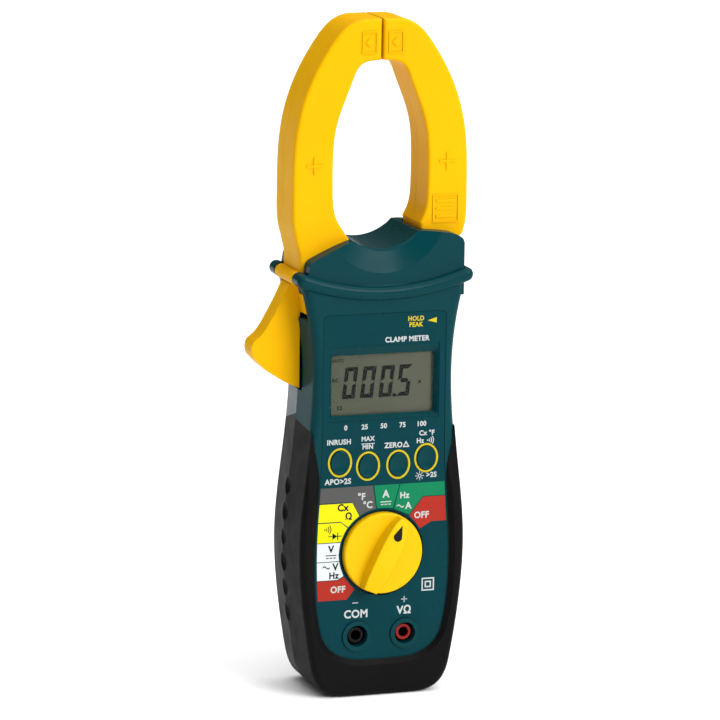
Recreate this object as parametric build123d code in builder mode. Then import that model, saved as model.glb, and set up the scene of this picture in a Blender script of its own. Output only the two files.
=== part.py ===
"""Clamp meter: hand-held multimeter with an opening current jaw.

Frame: millimetres, +Z along the meter from its base to the jaw tips, the face panel looks
towards -Y, +X is to the right of a person who reads the display. The origin is the centre of
the flat base. `depth` is the distance behind the face panel.
"""
from build123d import *
from math import cos, radians, sin, tau
import os

# ---------------------------------------------------------------- driving dimensions (mm)
MID_DEPTH = 17.0            # depth of the middle plane, where world Y is 0
PARTING = 16.0              # depth of the joint between the front and rear cases
BACK = 36.0                 # depth of the rear face
FRONT_WALL = 2.3            # thickness of the front wall behind the face panel
REAR_WALL = 2.0
SKIN = 1.8                  # thickness of the soft overmould
FRONT_DRAFT, REAR_DRAFT = 1.5, 2.2  # how much narrower each half is at its face
CASE_WALL = 2.2
SHELL_GAP = 0.1             # play between parts of one moulding set

BODY_TOP = 158.0
JAW_FRONT = 7.0             # depth of the front of the jaws
JAW_SEAM = 19.4
JAW_BACK = 27.6
JAW_WALL = 2.0
TIP_GAP = 0.35              # half of the gap between the closed jaw tips

PIVOT_X, PIVOT_Z = -14.0, 158.0
PIN_RADIUS = 2.5
BUSH_RADIUS = 3.6
HUB_RADIUS = 10.5
TRIGGER_FRONT, TRIGGER_BACK = 13.0, 22.0
TRIGGER_REACH = 43.5        # radius of the trigger's lower edge about the pivot

GUARD_RADIUS = 91.7         # the hand guard is an arc that smiles across the body
GUARD_LOW = 154.0
GUARD_HALF = 2.7
GUARD_END = 32.0

KNOB_Z = 55.1
KNOB_RADIUS = 15.5
KNOB_WELL = 16.5
KNOB_WELL_DEPTH = 1.5
KNOB_FLOOR = 3.0            # depth of the back of the knob's well
KNOB_SKIRT, KNOB_TOP = -2.2, -8.1   # depths of the disc's front and of the grip ridge
KNOB_DOME_RADIUS = 70.0
KNOB_DOME = KNOB_TOP + KNOB_DOME_RADIUS
STEM_RADIUS = 4.95
POINTER_ANGLE = 26.2        # the pointer rests this far clockwise from straight up

JACK_X, JACK_Z = 9.525, 23.4
JACK_COLLAR = 5.75
JACK_WELL = 4.1
JACK_POST = 3.1
JACK_BORE = 2.0
JACK_POST_FRONT = 1.4

KEY_PLACES = {
    "inrush_key": (-17.1, 90.5),
    "max_min_key": (-6.0, 88.6),
    "zero_key": (6.0, 88.6),
    "light_key": (17.1, 90.5),
}
KEY_WIDTH, KEY_HEIGHT = 7.5, 9.2
KEY_PLAY = 0.2

HOLD_Z = 141.0              # the side key that freezes the reading
HOLD_LENGTH = 8.0
HOLD_FRONT, HOLD_BACK = 9.5, 14.5
HOLD_WALL = 24.6            # inner face of the flank there
HOLD_FACE = 30.1

WINDOW_LOW, WINDOW_HIGH = 106.0, 134.5
WINDOW_HALF = 21.8
GLASS_LOW, GLASS_HIGH = 107.9, 130.8
GLASS_HALF = 20.2
GLASS_MID = (GLASS_LOW + GLASS_HIGH) / 2

BOARD_FRONT, BOARD_BACK = 8.4, 10.0
DOME_FRONT = 7.6

BATTERY_LOW, BATTERY_HIGH = 30.6, 79.1
BATTERY_HALF = 13.25
BATTERY_FRONT, BATTERY_BACK = 16.4, 33.9
DOOR_LOW, DOOR_HIGH, DOOR_HALF = 27.0, 90.0, 17.0
DOOR_FRONT = 34.4
DOOR_SCREW_Z = 85.0

GRIP_FRONT_TOP = 101.0      # the overmould's upper edge, at the face
GRIP_SIDE_TOP = 107.0       # and at the parting line
RIM = 1.5                   # the overmould's rim stands this proud of the face
NOTCH_LOW, NOTCH_PITCH, NOTCHES = 30.0, 10.0, 6

PANEL_RECESS = 0.5
DISH_Z, DISH_RADIUS = 186.0, 24.5   # shallow cone round the foot of the jaw opening

INSERT_RADIUS, SHANK_RADIUS, SCREW_HEAD, SCREW_SEAT = 2.0, 1.5, 3.0, 31.0
MARK_RISE = 0.4             # height of the raised marks on the jaws
JAW_ROUND = 1.2             # radius of the jaws' front and rear edges
CASE_SCREW_PLACES = [(-20.5, 100.2), (20.5, 100.2), (-15.5, 14.5), (15.5, 14.5)]
JAW_SCREW_PLACES = [(21.9, 198.0), (13.4, 235.7)]


# ---------------------------------------------------------------- planes and profiles
def facing(depth):
    """Plane parallel to the face panel, with its normal towards the user."""
    return Plane.XZ.offset(MID_DEPTH - depth)


def slab(profile, near, far, taper=0.0):
    """A profile as a solid between two depths."""
    with BuildPart() as piece:
        with BuildSketch(facing(near)):
            add(profile)
        extrude(amount=near - far, taper=taper)
    return piece.part


def box(x, z, width, height):
    """A rectangle centred on x, z."""
    with BuildSketch() as profile:
        with Locations((x, z)):
            Rectangle(width, height)
    return profile.sketch


def disc(x, z, radius):
    with BuildSketch() as profile:
        with Locations((x, z)):
            Circle(radius)
    return profile.sketch


def ring(x, z, outer, inner):
    with BuildSketch() as profile:
        with Locations((x, z)):
            Circle(outer)
            Circle(inner, mode=Mode.SUBTRACT)
    return profile.sketch


def frame(x, z, outer, inner):
    """A rectangular frame, from its outer and inner sizes."""
    with BuildSketch() as profile:
        with Locations((x, z)):
            Rectangle(*outer)
            Rectangle(*inner, mode=Mode.SUBTRACT)
    return profile.sketch


def oval(x, z, width, height):
    with BuildSketch() as profile:
        with Locations((x, z)):
            Ellipse(width / 2, height / 2)
    return profile.sketch


def mirrored(profile):
    """The same profile on the other side of the meter."""
    return mirror(profile, about=Plane.YZ)


FLANK = [(11.0, 0.0), (24.5, 3.8), (28.9, 12.0), (32.6, 36.0), (33.9, 60.0), (31.6, 86.0),
         (29.0, 112.0), (29.2, 134.0), (31.4, 149.0), (33.6, BODY_TOP)]
FOOT = 14.0                 # below this height the outline turns from the flank to the base


def inset_point(x, z, side, base):
    """Move an outline point inwards: sideways by `side` on the flank, up by `base` on the base."""
    lean = radians(90 * max(0.0, 1 - z / FOOT))
    return (x - side * cos(lean), z + base * sin(lean))


def flank_at(height):
    """Half-width of the outline at a height."""
    for (x0, z0), (x1, z1) in zip(FLANK, FLANK[1:]):
        if z0 <= height <= z1:
            return x0 + (x1 - x0) * (height - z0) / (z1 - z0)
    return FLANK[-1][0]


def body_profile(side, base):
    """Outline of the body seen from the front, inset at its sides and at its base."""
    right = [inset_point(x, z, side, base) for x, z in FLANK]
    with BuildSketch() as profile:
        with BuildLine():
            Line((0, base), right[0])
            flank = Spline(*right[2:])
            Spline(*right[:3], tangents=[(1, 0), flank % 0])
            Line(right[-1], (0, BODY_TOP))
            mirror(about=Plane.YZ)
        make_face()
    return profile.sketch


def panel_profile(grow):
    """Outline of the printed face panel, with a smiling lower edge."""
    half, shoulder, top = 24.3 + grow, 26.5 + grow, 146.6 + grow
    with BuildSketch() as profile:
        with BuildLine():
            Spline((-half, 100), (-shoulder, 57), (-23.8 - grow, 25), tangents=[(0, -1), (0.25, -1)])
            Spline((-23.8 - grow, 25), (-15.5, 15.8 - grow), (0, 14.2 - grow),
                   tangents=[(0.25, -1), (1, 0)])
            Spline((0, 14.2 - grow), (15.5, 15.8 - grow), (23.8 + grow, 25),
                   tangents=[(1, 0), (0.25, 1)])
            Spline((23.8 + grow, 25), (shoulder, 57), (half, 100), tangents=[(0.25, 1), (0, 1)])
            Polyline((half, 100), (half, top), (-half, top), (-half, 100))
        make_face()
        fillet(profile.vertices().sort_by(Axis.Y)[-2:], radius=2.0)
    return profile.sketch


def guard_profile():
    """The hand guard's strip: an arc across the body with round ends."""
    centre = GUARD_LOW + GUARD_RADIUS
    lift = centre - (GUARD_RADIUS ** 2 - GUARD_END ** 2) ** 0.5
    with BuildSketch() as profile:
        with BuildLine() as spine:
            ThreePointArc((-GUARD_END, lift), (0, GUARD_LOW), (GUARD_END, lift))
        SlotArc(spine.edges()[0], height=2 * GUARD_HALF)
    return profile.sketch


def collar_profile(inset, foot):
    """The collar that holds the jaws, seen from the front."""
    with BuildSketch() as profile:
        with BuildLine():
            Polyline((-29.6 + inset, foot), (-30.3 + inset, 160.5), (-29.7 + inset, 164.8))
            Spline((-29.7 + inset, 164.8), (-27.2 + inset, 167.6 - inset / 2),
                   (-20.0, 171.0 - inset), (-12.2, 173.9 - inset), tangents=[(0.1, 1), (1, 0.35)])
            ThreePointArc((-12.2, 173.9 - inset), (0, 170.6 - inset), (13.4, 176.6 - inset))
            Spline((13.4, 176.6 - inset), (21.0, 176.2 - inset), (29.4 - inset / 2, 174.3 - inset),
                   (31.4 - inset, 171.2 - inset), tangents=[(1, 0.1), (0, -1)])
            Polyline((31.4 - inset, 171.2 - inset), (31.4 - inset, foot), (-29.6 + inset, foot))
        make_face()
    return profile.sketch


# Stations along a jaw arm, from the tip down: a point on the opening and one on the outside.
ARM = [((TIP_GAP, 240.6), (TIP_GAP, 256.0)),
       ((4.6, 240.2), (7.4, 255.9)),
       ((8.6, 238.3), (13.0, 254.0)),
       ((11.4, 232.8), (20.4, 246.0)),
       ((14.8, 224.2), (28.0, 232.5)),
       ((17.6, 215.2), (32.8, 217.0)),
       ((18.6, 205.0), (34.2, 204.0)),
       ((18.6, 191.0), (34.4, 188.0)),
       ((17.9, 184.0), (34.1, 179.5)),
       ((15.6, 178.9), (32.9, 174.2))]


def between(station, share):
    """A point that lies `share` of the way from the opening to the outside."""
    (x0, z0), (x1, z1) = station
    return (x0 + (x1 - x0) * share, z0 + (z1 - z0) * share)


def height_at(x, start, end):
    """Height at x on the line through two points."""
    return start[1] + (end[1] - start[1]) * (x - start[0]) / (end[0] - start[0])


def arm_profile(inner, outer, end_inset, tail_inner=(), tail_outer=()):
    """A band along the right-hand arm between two shares of its width."""
    tip = TIP_GAP + end_inset
    stations = [station for station in ARM[1:] if between(station, inner)[0] > tip + 0.6]
    inside = [between(station, inner) for station in stations]
    outside = [between(station, outer) for station in stations]
    last = ARM[len(ARM) - len(stations) - 1]
    tip_in, tip_out = [(tip, height_at(tip, between(last, share), first))
                       for share, first in ((inner, inside[0]), (outer, outside[0]))]
    low_in = tail_inner[-1] if tail_inner else inside[-1]
    low_out = tail_outer[-1] if tail_outer else outside[-1]
    with BuildSketch() as profile:
        with BuildLine():
            Polyline(inside[0], tip_in, tip_out, outside[0])
            Spline(*outside)
            if tail_outer:
                Polyline(outside[-1], *tail_outer)
            Line(low_out, low_in)
            if tail_inner:
                Polyline(*tail_inner[::-1], inside[-1])
            Spline(*reversed(inside))
        make_face()
    return profile.sketch


def hub(radius):
    return disc(PIVOT_X, PIVOT_Z, radius)


def union(*profiles):
    with BuildSketch() as profile:
        for item in profiles:
            add(item)
    return profile.sketch


# ---------------------------------------------------------------- outlines used by several pieces
GUARD_NOSE = (-32.1, 159.6)
ARM_TAIL_IN = [(12.6, 174.4), (9.0, 168.5), (6.5, 163.0)]
ARM_TAIL_OUT = [(31.4, 168.0), (31.2, 158.0), (29.6, 151.0), (28.9, 146.2), (25.9, 145.0),
                (18.0, 147.6)]
FIXED_TAIL_IN = [(16.2, 176.0), (16.2, 160.0)]
FIXED_TAIL_OUT = [(31.6, 173.0), (29.6, 172.6), (29.6, 160.0)]

with BuildSketch() as nose_sketch:
    with BuildLine() as nose_line:
        Line(GUARD_NOSE, (-27.0, 157.9))
    trace(nose_line.line, line_width=2 * GUARD_HALF)
    with Locations(GUARD_NOSE):
        Circle(GUARD_HALF)
NOSE = nose_sketch.sketch

moving_arm = mirrored(arm_profile(0, 1, 0, ARM_TAIL_IN, ARM_TAIL_OUT))
MOVING_OUTLINE = union(moving_arm, hub(HUB_RADIUS), NOSE)

with BuildSketch() as trigger_sketch:
    with BuildLine():
        Spline((-33.6, 157.0), (-36.6, 150.6), (-40.6, 143.3), (-43.8, 138.4), (-46.3, 136.2))
        Spline((-46.3, 136.2), (-47.9, 133.6), (-47.2, 129.6), tangents=[(-1, -0.6), (0.55, -1)])
        RadiusArc((-47.2, 129.6), (-29.2, 117.2), -TRIGGER_REACH)
        Polyline((-29.2, 117.2), (-29.2, 146.0), (-25.6, 145.0), (-26.2, 150.0), (-24.0, 156.0),
                 (-33.6, 157.0))
    make_face()
TRIGGER_OUTLINE = trigger_sketch.sketch

FIXED_OUTLINE = arm_profile(0, 1, 0, FIXED_TAIL_IN, FIXED_TAIL_OUT)
MOVING_CAVITY = mirrored(arm_profile(0.14, 0.86, JAW_WALL))
FIXED_CAVITY = arm_profile(0.14, 0.86, JAW_WALL)


# ---------------------------------------------------------------- outer volumes of the cases
def tapered(near, near_inset, far, far_inset, base, radius=0.0):
    """A case half with draft between two depths; `radius` rounds the edge at the far depth."""
    far_end = 0 if far < near else -1
    with BuildPart() as solid:
        with BuildSketch(facing(near)):
            add(body_profile(near_inset, base))
        with BuildSketch(facing(far)):
            add(body_profile(far_inset, base))
        loft(ruled=True)
        if radius:
            face = solid.faces().filter_by(Axis.Y).sort_by(Axis.Y)[far_end]
            fillet(face.edges(), radius=radius)
    return solid.part


def below_slope(near, far, near_top, far_top):
    """Everything under the overmould's sloping upper edge, between two depths."""
    with BuildPart() as region:
        with BuildSketch(Plane.YZ.offset(-60)):
            with BuildLine():
                Polyline((near - MID_DEPTH, -5), (far - MID_DEPTH, -5),
                         (far - MID_DEPTH, far_top), (near - MID_DEPTH, near_top), close=True)
            make_face()
        extrude(amount=120)
    return region.part


def notches():
    """Finger notches: shallow scoops along each flank, centred on the parting line."""
    with BuildPart() as scoops:
        for row in range(NOTCHES):
            z = NOTCH_LOW + row * NOTCH_PITCH
            flank = flank_at(z)
            for side in (-1, 1):
                with Locations((side * (flank + 4.2), PARTING - MID_DEPTH, z)):
                    Sphere(5.4)
    return scoops.part


def trigger_slot(margin):
    """The space that the trigger sweeps inside the case."""
    with BuildSketch() as swept:
        add(disc(PIVOT_X, PIVOT_Z, TRIGGER_REACH + margin))
        add(box(-30.0, 131.0, 44.0, 46.0), mode=Mode.INTERSECT)
    return slab(swept.sketch, TRIGGER_FRONT - margin, TRIGGER_BACK + margin)


case_front_outer = tapered(PARTING, 0, 0, FRONT_DRAFT, 0, 2.9)
grip_front_outer = tapered(PARTING, 0, -RIM, FRONT_DRAFT, 0, 2.4)
core_front_outer = tapered(PARTING, SKIN, 0, FRONT_DRAFT + SKIN, SKIN)
case_rear_outer = tapered(PARTING, 0, BACK, REAR_DRAFT, 0, 5.0)
core_rear_outer = tapered(PARTING, SKIN, BACK, REAR_DRAFT + SKIN, SKIN, 4.5)
with BuildSketch() as shoulder_sketch:
    with BuildLine():
        Polyline((-60, -5), (60, -5), (60, 140), (30.6, 108.0), (28.4, 102.0), (26.8, 95.0),
                 (25.4, 86.0), (24.2, 76.0), (-24.2, 76.0), (-25.4, 86.0), (-26.8, 95.0),
                 (-28.4, 102.0), (-30.6, 108.0), (-60, 140), (-60, -5))
    make_face()
shoulders = slab(shoulder_sketch.sketch, -5, PARTING + 1)
front_slope = below_slope(-3, PARTING, GRIP_FRONT_TOP, GRIP_SIDE_TOP) & shoulders
rear_slope = below_slope(PARTING, BACK + 1, GRIP_SIDE_TOP, GRIP_FRONT_TOP)
scoops = notches()
slot = trigger_slot(0.8)
panel = panel_profile(0)

os.makedirs("parts", exist_ok=True)


def finish(piece, name):
    """Label a finished piece and write it out."""
    piece.part.label = name
    export_step(piece.part, f"parts/{name}.step")


# ---------------------------------------------------------------- what the case halves share
COLLAR_FOOT = 152.0
CAVITY_TOP = 150.0          # above it the inside is the collar's, not the body's
above_body = slab(box(0, CAVITY_TOP + 25, 120, 50), -5, BACK + 5)

COLLAR_FRONT, COLLAR_REAR = 1.0, 33.0
NEAR_JAW, FAR_JAW = JAW_FRONT - 0.3, JAW_BACK + 0.3

# The moving jaw leaves the collar on the left, and the fixed jaw stands in it on the right.
with BuildSketch() as left_passage_sketch:
    with BuildLine():
        Polyline((-60, 144.4), (-28.0, 144.4), (-27.6, 142.2), (-23.6, 142.2), (-21.4, 144.4),
                 (-20, 144.4), (-5.8, 166.0), (-8.0, 170.0), (-11.6, 176.0), (-11.6, 182.0),
                 (-60, 182.0), close=True)
    make_face()
LEFT_PASSAGE = left_passage_sketch.sketch

FLANK_OPENING = box(-42.0, 149.4, 34.0, 10.0)
FLANK_OPENING_DEPTH = 3.4   # under the guard the flank is open from here back

with BuildSketch() as right_seat_sketch:
    with BuildLine():
        Polyline((15.0, 185.0), (15.0, 176.2), (16.1, 175.4), (16.1, 159.9), (29.7, 159.9),
                 (29.7, 172.4), (36.0, 172.9), (36.0, 185.0), close=True)
    make_face()
RIGHT_SEAT = right_seat_sketch.sketch


def guard(near, far, round_near, round_far):
    """A length of the hand guard, rounded where it faces outwards."""
    with BuildPart() as bead:
        with BuildSketch(facing(near)):
            add(guard_profile())
        extrude(amount=near - far)
        for rounded, index in ((round_near, 0), (round_far, -1)):
            if rounded:
                face = bead.faces().filter_by(Axis.Y).sort_by(Axis.Y)[index]
                fillet(face.edges(), radius=GUARD_HALF - 0.4)
    return bead.part


def hold_key_box(grow, x_in, x_out):
    """The slot of the side key, or the key itself."""
    with BuildPart() as block:
        middle = (HOLD_FRONT + HOLD_BACK) / 2 - MID_DEPTH
        with Locations(((x_in + x_out) / 2, middle, HOLD_Z)):
            Box(x_out - x_in, HOLD_BACK - HOLD_FRONT + 2 * grow, HOLD_LENGTH + 2 * grow)
    return block.part


# ---------------------------------------------------------------- front case
KEY_HOLES = union(*[oval(x, z, KEY_WIDTH + 2 * KEY_PLAY, KEY_HEIGHT + 2 * KEY_PLAY)
                    for x, z in KEY_PLACES.values()])
JACK_PLACES = [(-JACK_X, JACK_Z), (JACK_X, JACK_Z)]
SHROUD = JACK_WELL + 1.3

with BuildPart() as window_cut:
    with BuildSketch(facing(-0.01)):
        with Locations((0, (WINDOW_LOW + WINDOW_HIGH) / 2)):
            RectangleRounded(2 * WINDOW_HALF, WINDOW_HIGH - WINDOW_LOW, 2.4)
    with BuildSketch(facing(FRONT_WALL)):
        with Locations((0, GLASS_MID)):
            RectangleRounded(2 * GLASS_HALF, GLASS_HIGH - GLASS_LOW, 1.0)
    loft()

with BuildPart() as dish:
    with BuildSketch(facing(COLLAR_FRONT - 0.02)):
        with Locations((0, DISH_Z)):
            Circle(DISH_RADIUS)
    with BuildSketch(facing(COLLAR_FRONT + 1.8)):
        with Locations((0, DISH_Z)):
            Circle(DISH_RADIUS - 8.0)
    loft()

WALL_INSET = SKIN + CASE_WALL
front_inner = tapered(PARTING, WALL_INSET, FRONT_WALL, WALL_INSET + 0.8, WALL_INSET) - above_body
lower_front_core = core_front_outer & front_slope
upper_front = case_front_outer - front_slope
front_collar = slab(collar_profile(0, COLLAR_FOOT), COLLAR_FRONT, PARTING)
front_guard = guard(-1.6, PARTING, True, False)
collar_inside = collar_profile(CASE_WALL + 1.2, CAVITY_TOP - 6)

with BuildPart() as front_case:
    add(lower_front_core)
    add(upper_front)
    add(front_collar)
    add(front_guard)
    add(dish.part, mode=Mode.SUBTRACT)
    add(front_inner, mode=Mode.SUBTRACT)
    add(slab(collar_inside, COLLAR_FRONT + 2.2, PARTING), mode=Mode.SUBTRACT)
    add(slab(LEFT_PASSAGE, NEAR_JAW, PARTING), mode=Mode.SUBTRACT)
    add(slab(FLANK_OPENING, FLANK_OPENING_DEPTH, PARTING), mode=Mode.SUBTRACT)
    add(slab(RIGHT_SEAT, JAW_FRONT - 0.1, PARTING), mode=Mode.SUBTRACT)
    add(slot, mode=Mode.SUBTRACT)
    add(slab(disc(0, KNOB_Z, KNOB_WELL + 1.2), FRONT_WALL - 0.1, KNOB_FLOOR))
    for x, z in CASE_SCREW_PLACES:
        add(slab(disc(x, z, 3.2), FRONT_WALL - 0.1, PARTING - 0.05))
        add(slab(disc(x, z, INSERT_RADIUS), PARTING - 7.0, PARTING), mode=Mode.SUBTRACT)
    for x, z in JACK_PLACES:
        add(slab(disc(x, z, SHROUD), FRONT_WALL - 0.1, PARTING - 0.1))
    add(slab(hub(PIN_RADIUS + 2.0), FRONT_WALL, NEAR_JAW))
    add(slab(hub(PIN_RADIUS + 0.02), COLLAR_FRONT + 2.2, NEAR_JAW), mode=Mode.SUBTRACT)
    add(slab(panel, -0.01, PANEL_RECESS), mode=Mode.SUBTRACT)
    for x, z in JACK_PLACES:
        add(slab(disc(x, z, JACK_COLLAR), -0.6, 1.0))
        add(slab(disc(x, z, JACK_WELL), -0.7, PARTING), mode=Mode.SUBTRACT)
    add(slab(disc(0, KNOB_Z, KNOB_WELL), -0.01, KNOB_WELL_DEPTH), mode=Mode.SUBTRACT)
    add(slab(disc(0, KNOB_Z, STEM_RADIUS + 0.05), 0, KNOB_FLOOR + 1), mode=Mode.SUBTRACT)
    add(slab(KEY_HOLES, -0.01, FRONT_WALL + 1), mode=Mode.SUBTRACT)
    add(window_cut.part, mode=Mode.SUBTRACT)
    add(hold_key_box(0.2, 22.0, 34.0), mode=Mode.SUBTRACT)
finish(front_case, "front_case")


# ---------------------------------------------------------------- rear case
DOOR = box(0, (DOOR_LOW + DOOR_HIGH) / 2, 2 * DOOR_HALF, DOOR_HIGH - DOOR_LOW)
DOOR_PLAY = 0.15
BAY_MID = (BATTERY_LOW + BATTERY_HIGH) / 2 + 1.1
BAY_OUTER, BAY_INNER = (31.6, 55.0), (28.4, 52.0)

rear_inner = tapered(PARTING, WALL_INSET, BACK - REAR_WALL, WALL_INSET + REAR_DRAFT, WALL_INSET)
rear_inner = rear_inner - above_body
rear_collar = slab(collar_profile(0, COLLAR_FOOT), PARTING, COLLAR_REAR)
rear_guard = guard(PARTING, COLLAR_REAR + 2.4, False, True)
lower_rear_core = core_rear_outer & rear_slope
upper_rear = case_rear_outer - rear_slope

with BuildPart() as rear_case:
    add(lower_rear_core)
    add(upper_rear)
    add(rear_collar)
    add(rear_guard)
    add(rear_inner, mode=Mode.SUBTRACT)
    add(slab(collar_inside, PARTING, COLLAR_REAR - 2.2), mode=Mode.SUBTRACT)
    add(slab(LEFT_PASSAGE, PARTING, FAR_JAW), mode=Mode.SUBTRACT)
    add(slab(RIGHT_SEAT, PARTING, JAW_BACK + 0.1), mode=Mode.SUBTRACT)
    add(slot, mode=Mode.SUBTRACT)
    add(slab(frame(0, BAY_MID, BAY_OUTER, BAY_INNER), 24.0, BACK - 1.0))
    add(slab(disc(0, DOOR_SCREW_Z, 3.2), 28.0, BACK - 1.0))
    for x, z in CASE_SCREW_PLACES:
        add(slab(disc(x, z, 3.4), PARTING + 0.05, BACK - 1.0))
        add(slab(disc(x, z, SHANK_RADIUS + 0.1), PARTING, BACK), mode=Mode.SUBTRACT)
        add(slab(disc(x, z, SCREW_HEAD), SCREW_SEAT, BACK + 1), mode=Mode.SUBTRACT)
    add(slab(hub(PIN_RADIUS + 2.0), FAR_JAW, COLLAR_REAR - 1))
    add(slab(hub(PIN_RADIUS + 0.02), FAR_JAW, COLLAR_REAR - 1), mode=Mode.SUBTRACT)
    add(slab(DOOR, DOOR_FRONT, BACK + 1), mode=Mode.SUBTRACT)
    add(slab(box(0, BAY_MID, *BAY_INNER), 20.0, BACK), mode=Mode.SUBTRACT)
    add(slab(disc(0, DOOR_SCREW_Z, SHANK_RADIUS + 0.05), 27.0, BACK), mode=Mode.SUBTRACT)
finish(rear_case, "rear_case")


# ---------------------------------------------------------------- soft overmould
with BuildPart() as rim_window:
    with BuildSketch(facing(0.0)):
        add(panel_profile(0.15))
    with BuildSketch(facing(-RIM - 0.05)):
        add(panel_profile(2.2))
    loft()

with BuildPart() as rim_fade:
    with BuildSketch(Plane.YZ.offset(-60)):
        with BuildLine():
            Polyline((-4 - MID_DEPTH, GRIP_FRONT_TOP - 26), (-RIM - MID_DEPTH, GRIP_FRONT_TOP - 24),
                     (-MID_DEPTH, GRIP_FRONT_TOP - 6), (-MID_DEPTH, GRIP_FRONT_TOP + 9),
                     (-4 - MID_DEPTH, GRIP_FRONT_TOP + 9), close=True)
        make_face()
    extrude(amount=120)

front_skin = grip_front_outer & front_slope
with BuildPart() as front_grip:
    add(front_skin)
    add(core_front_outer, mode=Mode.SUBTRACT)
    add(rim_window.part, mode=Mode.SUBTRACT)
    add(rim_fade.part, mode=Mode.SUBTRACT)
    add(scoops, mode=Mode.SUBTRACT)
finish(front_grip, "front_grip")

rear_skin = case_rear_outer & rear_slope
with BuildPart() as rear_grip:
    add(rear_skin)
    add(core_rear_outer, mode=Mode.SUBTRACT)
    add(scoops, mode=Mode.SUBTRACT)
    for x, z in CASE_SCREW_PLACES:
        add(slab(disc(x, z, SCREW_HEAD + 0.4), SCREW_SEAT, BACK + 1), mode=Mode.SUBTRACT)
finish(rear_grip, "rear_grip")


# ---------------------------------------------------------------- face
WINDOW = box(0, (WINDOW_LOW + WINDOW_HIGH) / 2, 2 * WINDOW_HALF, WINDOW_HIGH - WINDOW_LOW)
with BuildPart() as face_panel:
    add(slab(panel_profile(-0.15), 0.1, PANEL_RECESS))
    add(slab(WINDOW, 0, 1), mode=Mode.SUBTRACT)
    add(slab(KEY_HOLES, 0, 1), mode=Mode.SUBTRACT)
    add(slab(disc(0, KNOB_Z, KNOB_WELL), 0, 1), mode=Mode.SUBTRACT)
    for x, z in JACK_PLACES:
        add(slab(disc(x, z, JACK_COLLAR + 0.1), 0, 1), mode=Mode.SUBTRACT)
finish(face_panel, "face_panel")

with BuildPart() as display_window:
    add(slab(box(0, GLASS_MID, 44.8, 27.6), FRONT_WALL + 0.05, FRONT_WALL + 1.05))
finish(display_window, "display_window")

with BuildPart() as lcd_cell:
    add(slab(box(0, GLASS_MID, 43.0, 26.4), FRONT_WALL + 1.2, FRONT_WALL + 3.0))
finish(lcd_cell, "lcd_cell")

with BuildPart() as lcd_holder:
    add(slab(frame(0, GLASS_MID, (47.2, 30.6), (45.2, 28.2)), FRONT_WALL + 0.05, BOARD_FRONT))
finish(lcd_holder, "lcd_holder")

with BuildPart() as backlight:
    add(slab(box(0, GLASS_MID, 41.0, 21.6), FRONT_WALL + 3.1, FRONT_WALL + 5.1))
finish(backlight, "backlight")

with BuildPart() as zebra_strips:
    for side in (-1, 1):
        add(slab(box(0, GLASS_MID + side * 12.4, 40.0, 2.0), FRONT_WALL + 3.0, BOARD_FRONT))
finish(zebra_strips, "zebra_strips")


# ---------------------------------------------------------------- electronics
board_lower = body_profile(5.6, 5.6)
with BuildPart() as main_board:
    add(slab(board_lower, BOARD_FRONT, BOARD_BACK))
    add(slab(box(0, 170.0, 90.0, 68.0), 0, PARTING), mode=Mode.SUBTRACT)
    add(slab(box(13.0, 141.0, 17.0, 11.0), BOARD_FRONT, BOARD_BACK))
    for x, z in JACK_PLACES:
        add(slab(disc(x, z, SHROUD + 0.3), 0, PARTING), mode=Mode.SUBTRACT)
    for x, z in CASE_SCREW_PLACES:
        add(slab(disc(x, z, 3.5), 0, PARTING), mode=Mode.SUBTRACT)
finish(main_board, "main_board")

# Each part on the back of the board: x, z, width, height and how far it stands off the board.
CHIPS = [(-2.0, 97.0, 12.0, 12.0, 1.6), (14.0, 88.0, 7.0, 10.0, 1.8), (-15.0, 84.0, 6.0, 5.0, 2.2),
         (-18.0, 62.0, 5.0, 9.0, 2.6), (18.0, 60.0, 5.0, 12.0, 3.0), (0.0, 38.0, 12.0, 5.0, 3.2),
         (8.0, 126.0, 8.0, 6.0, 1.8), (-18.0, 40.0, 6.0, 8.0, 2.4), (19.0, 42.0, 6.0, 6.0, 3.4)]
with BuildPart() as board_components:
    for x, z, width, height, rise in CHIPS:
        add(slab(box(x, z, width, height), BOARD_BACK, BOARD_BACK + rise))
finish(board_components, "board_components")

with BuildPart() as buzzer:
    add(slab(disc(12.0, 116.0, 6.5), BOARD_BACK, BOARD_BACK + 4.0))
    add(slab(disc(12.0, 116.0, 1.2), BOARD_BACK + 2.5, BOARD_BACK + 5.0), mode=Mode.SUBTRACT)
    fillet(buzzer.edges().filter_by(GeomType.CIRCLE).sort_by(Axis.Y)[-2], radius=0.6)
finish(buzzer, "buzzer")

with BuildPart() as key_domes:
    add(slab(box(0, 89.2, 44.0, 13.0), BOARD_FRONT - 0.5, BOARD_FRONT))
    for x, z in KEY_PLACES.values():
        add(slab(disc(x, z, 3.0), DOME_FRONT - 0.4, BOARD_FRONT - 0.4))
finish(key_domes, "key_domes")


# ---------------------------------------------------------------- keys
for name, (x, z) in KEY_PLACES.items():
    with BuildPart() as key:
        add(slab(oval(x, z, KEY_WIDTH, KEY_HEIGHT), -0.7, FRONT_WALL + 0.5))
        fillet(key.faces().sort_by(Axis.Y)[0].edges(), radius=0.5)
        with Locations((x, -0.7 - 15.5 - MID_DEPTH, z)):
            Sphere(16.0, mode=Mode.SUBTRACT)
        add(slab(oval(x, z, KEY_WIDTH + 2.9, KEY_HEIGHT + 2.8), FRONT_WALL + 0.1, FRONT_WALL + 1.1))
        add(slab(disc(x, z, 2.0), FRONT_WALL + 1.0, DOME_FRONT - 1.5))
    finish(key, name)

with BuildPart() as hold_key:
    add(hold_key_box(0, HOLD_WALL - 0.6, HOLD_FACE))
    fillet(hold_key.faces().sort_by(Axis.X)[-1].edges(), radius=0.7)
    add(hold_key_box(0.8, HOLD_WALL - 1.6, HOLD_WALL - 0.4))
finish(hold_key, "hold_key")

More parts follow.
